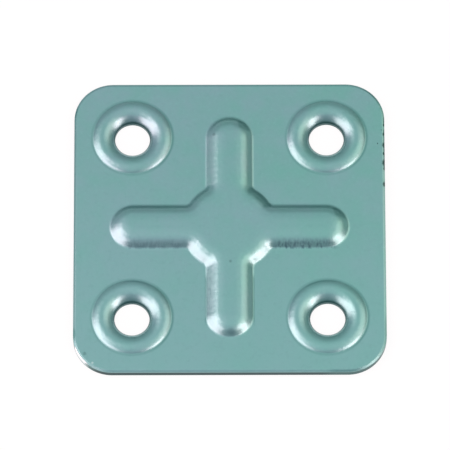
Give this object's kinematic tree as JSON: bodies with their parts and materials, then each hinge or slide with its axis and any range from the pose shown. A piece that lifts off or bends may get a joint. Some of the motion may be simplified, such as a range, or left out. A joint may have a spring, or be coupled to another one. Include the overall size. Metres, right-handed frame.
{
  "type": "flat joining plate",
  "caption": "Square flat joining plate pressed from sheet steel, with rounded corners, a hollow raised cross and a raised ring with a funnel round each screw hole.",
  "frame": {"origin": "middle of the flat back, on the surface that the plate lies on", "axes": "+Z out of the front face; the arms of the cross run along X and Y"},
  "size_m": [0.04, 0.04, 0.0022],
  "materials": {
    "zinc_plated_steel": "zinc plated with a blue-green passivated sheen, softly reflecting"
  },
  "bodies": {
    "root": {"joining_plate": "zinc_plated_steel"}
  },
  "joints": []
}
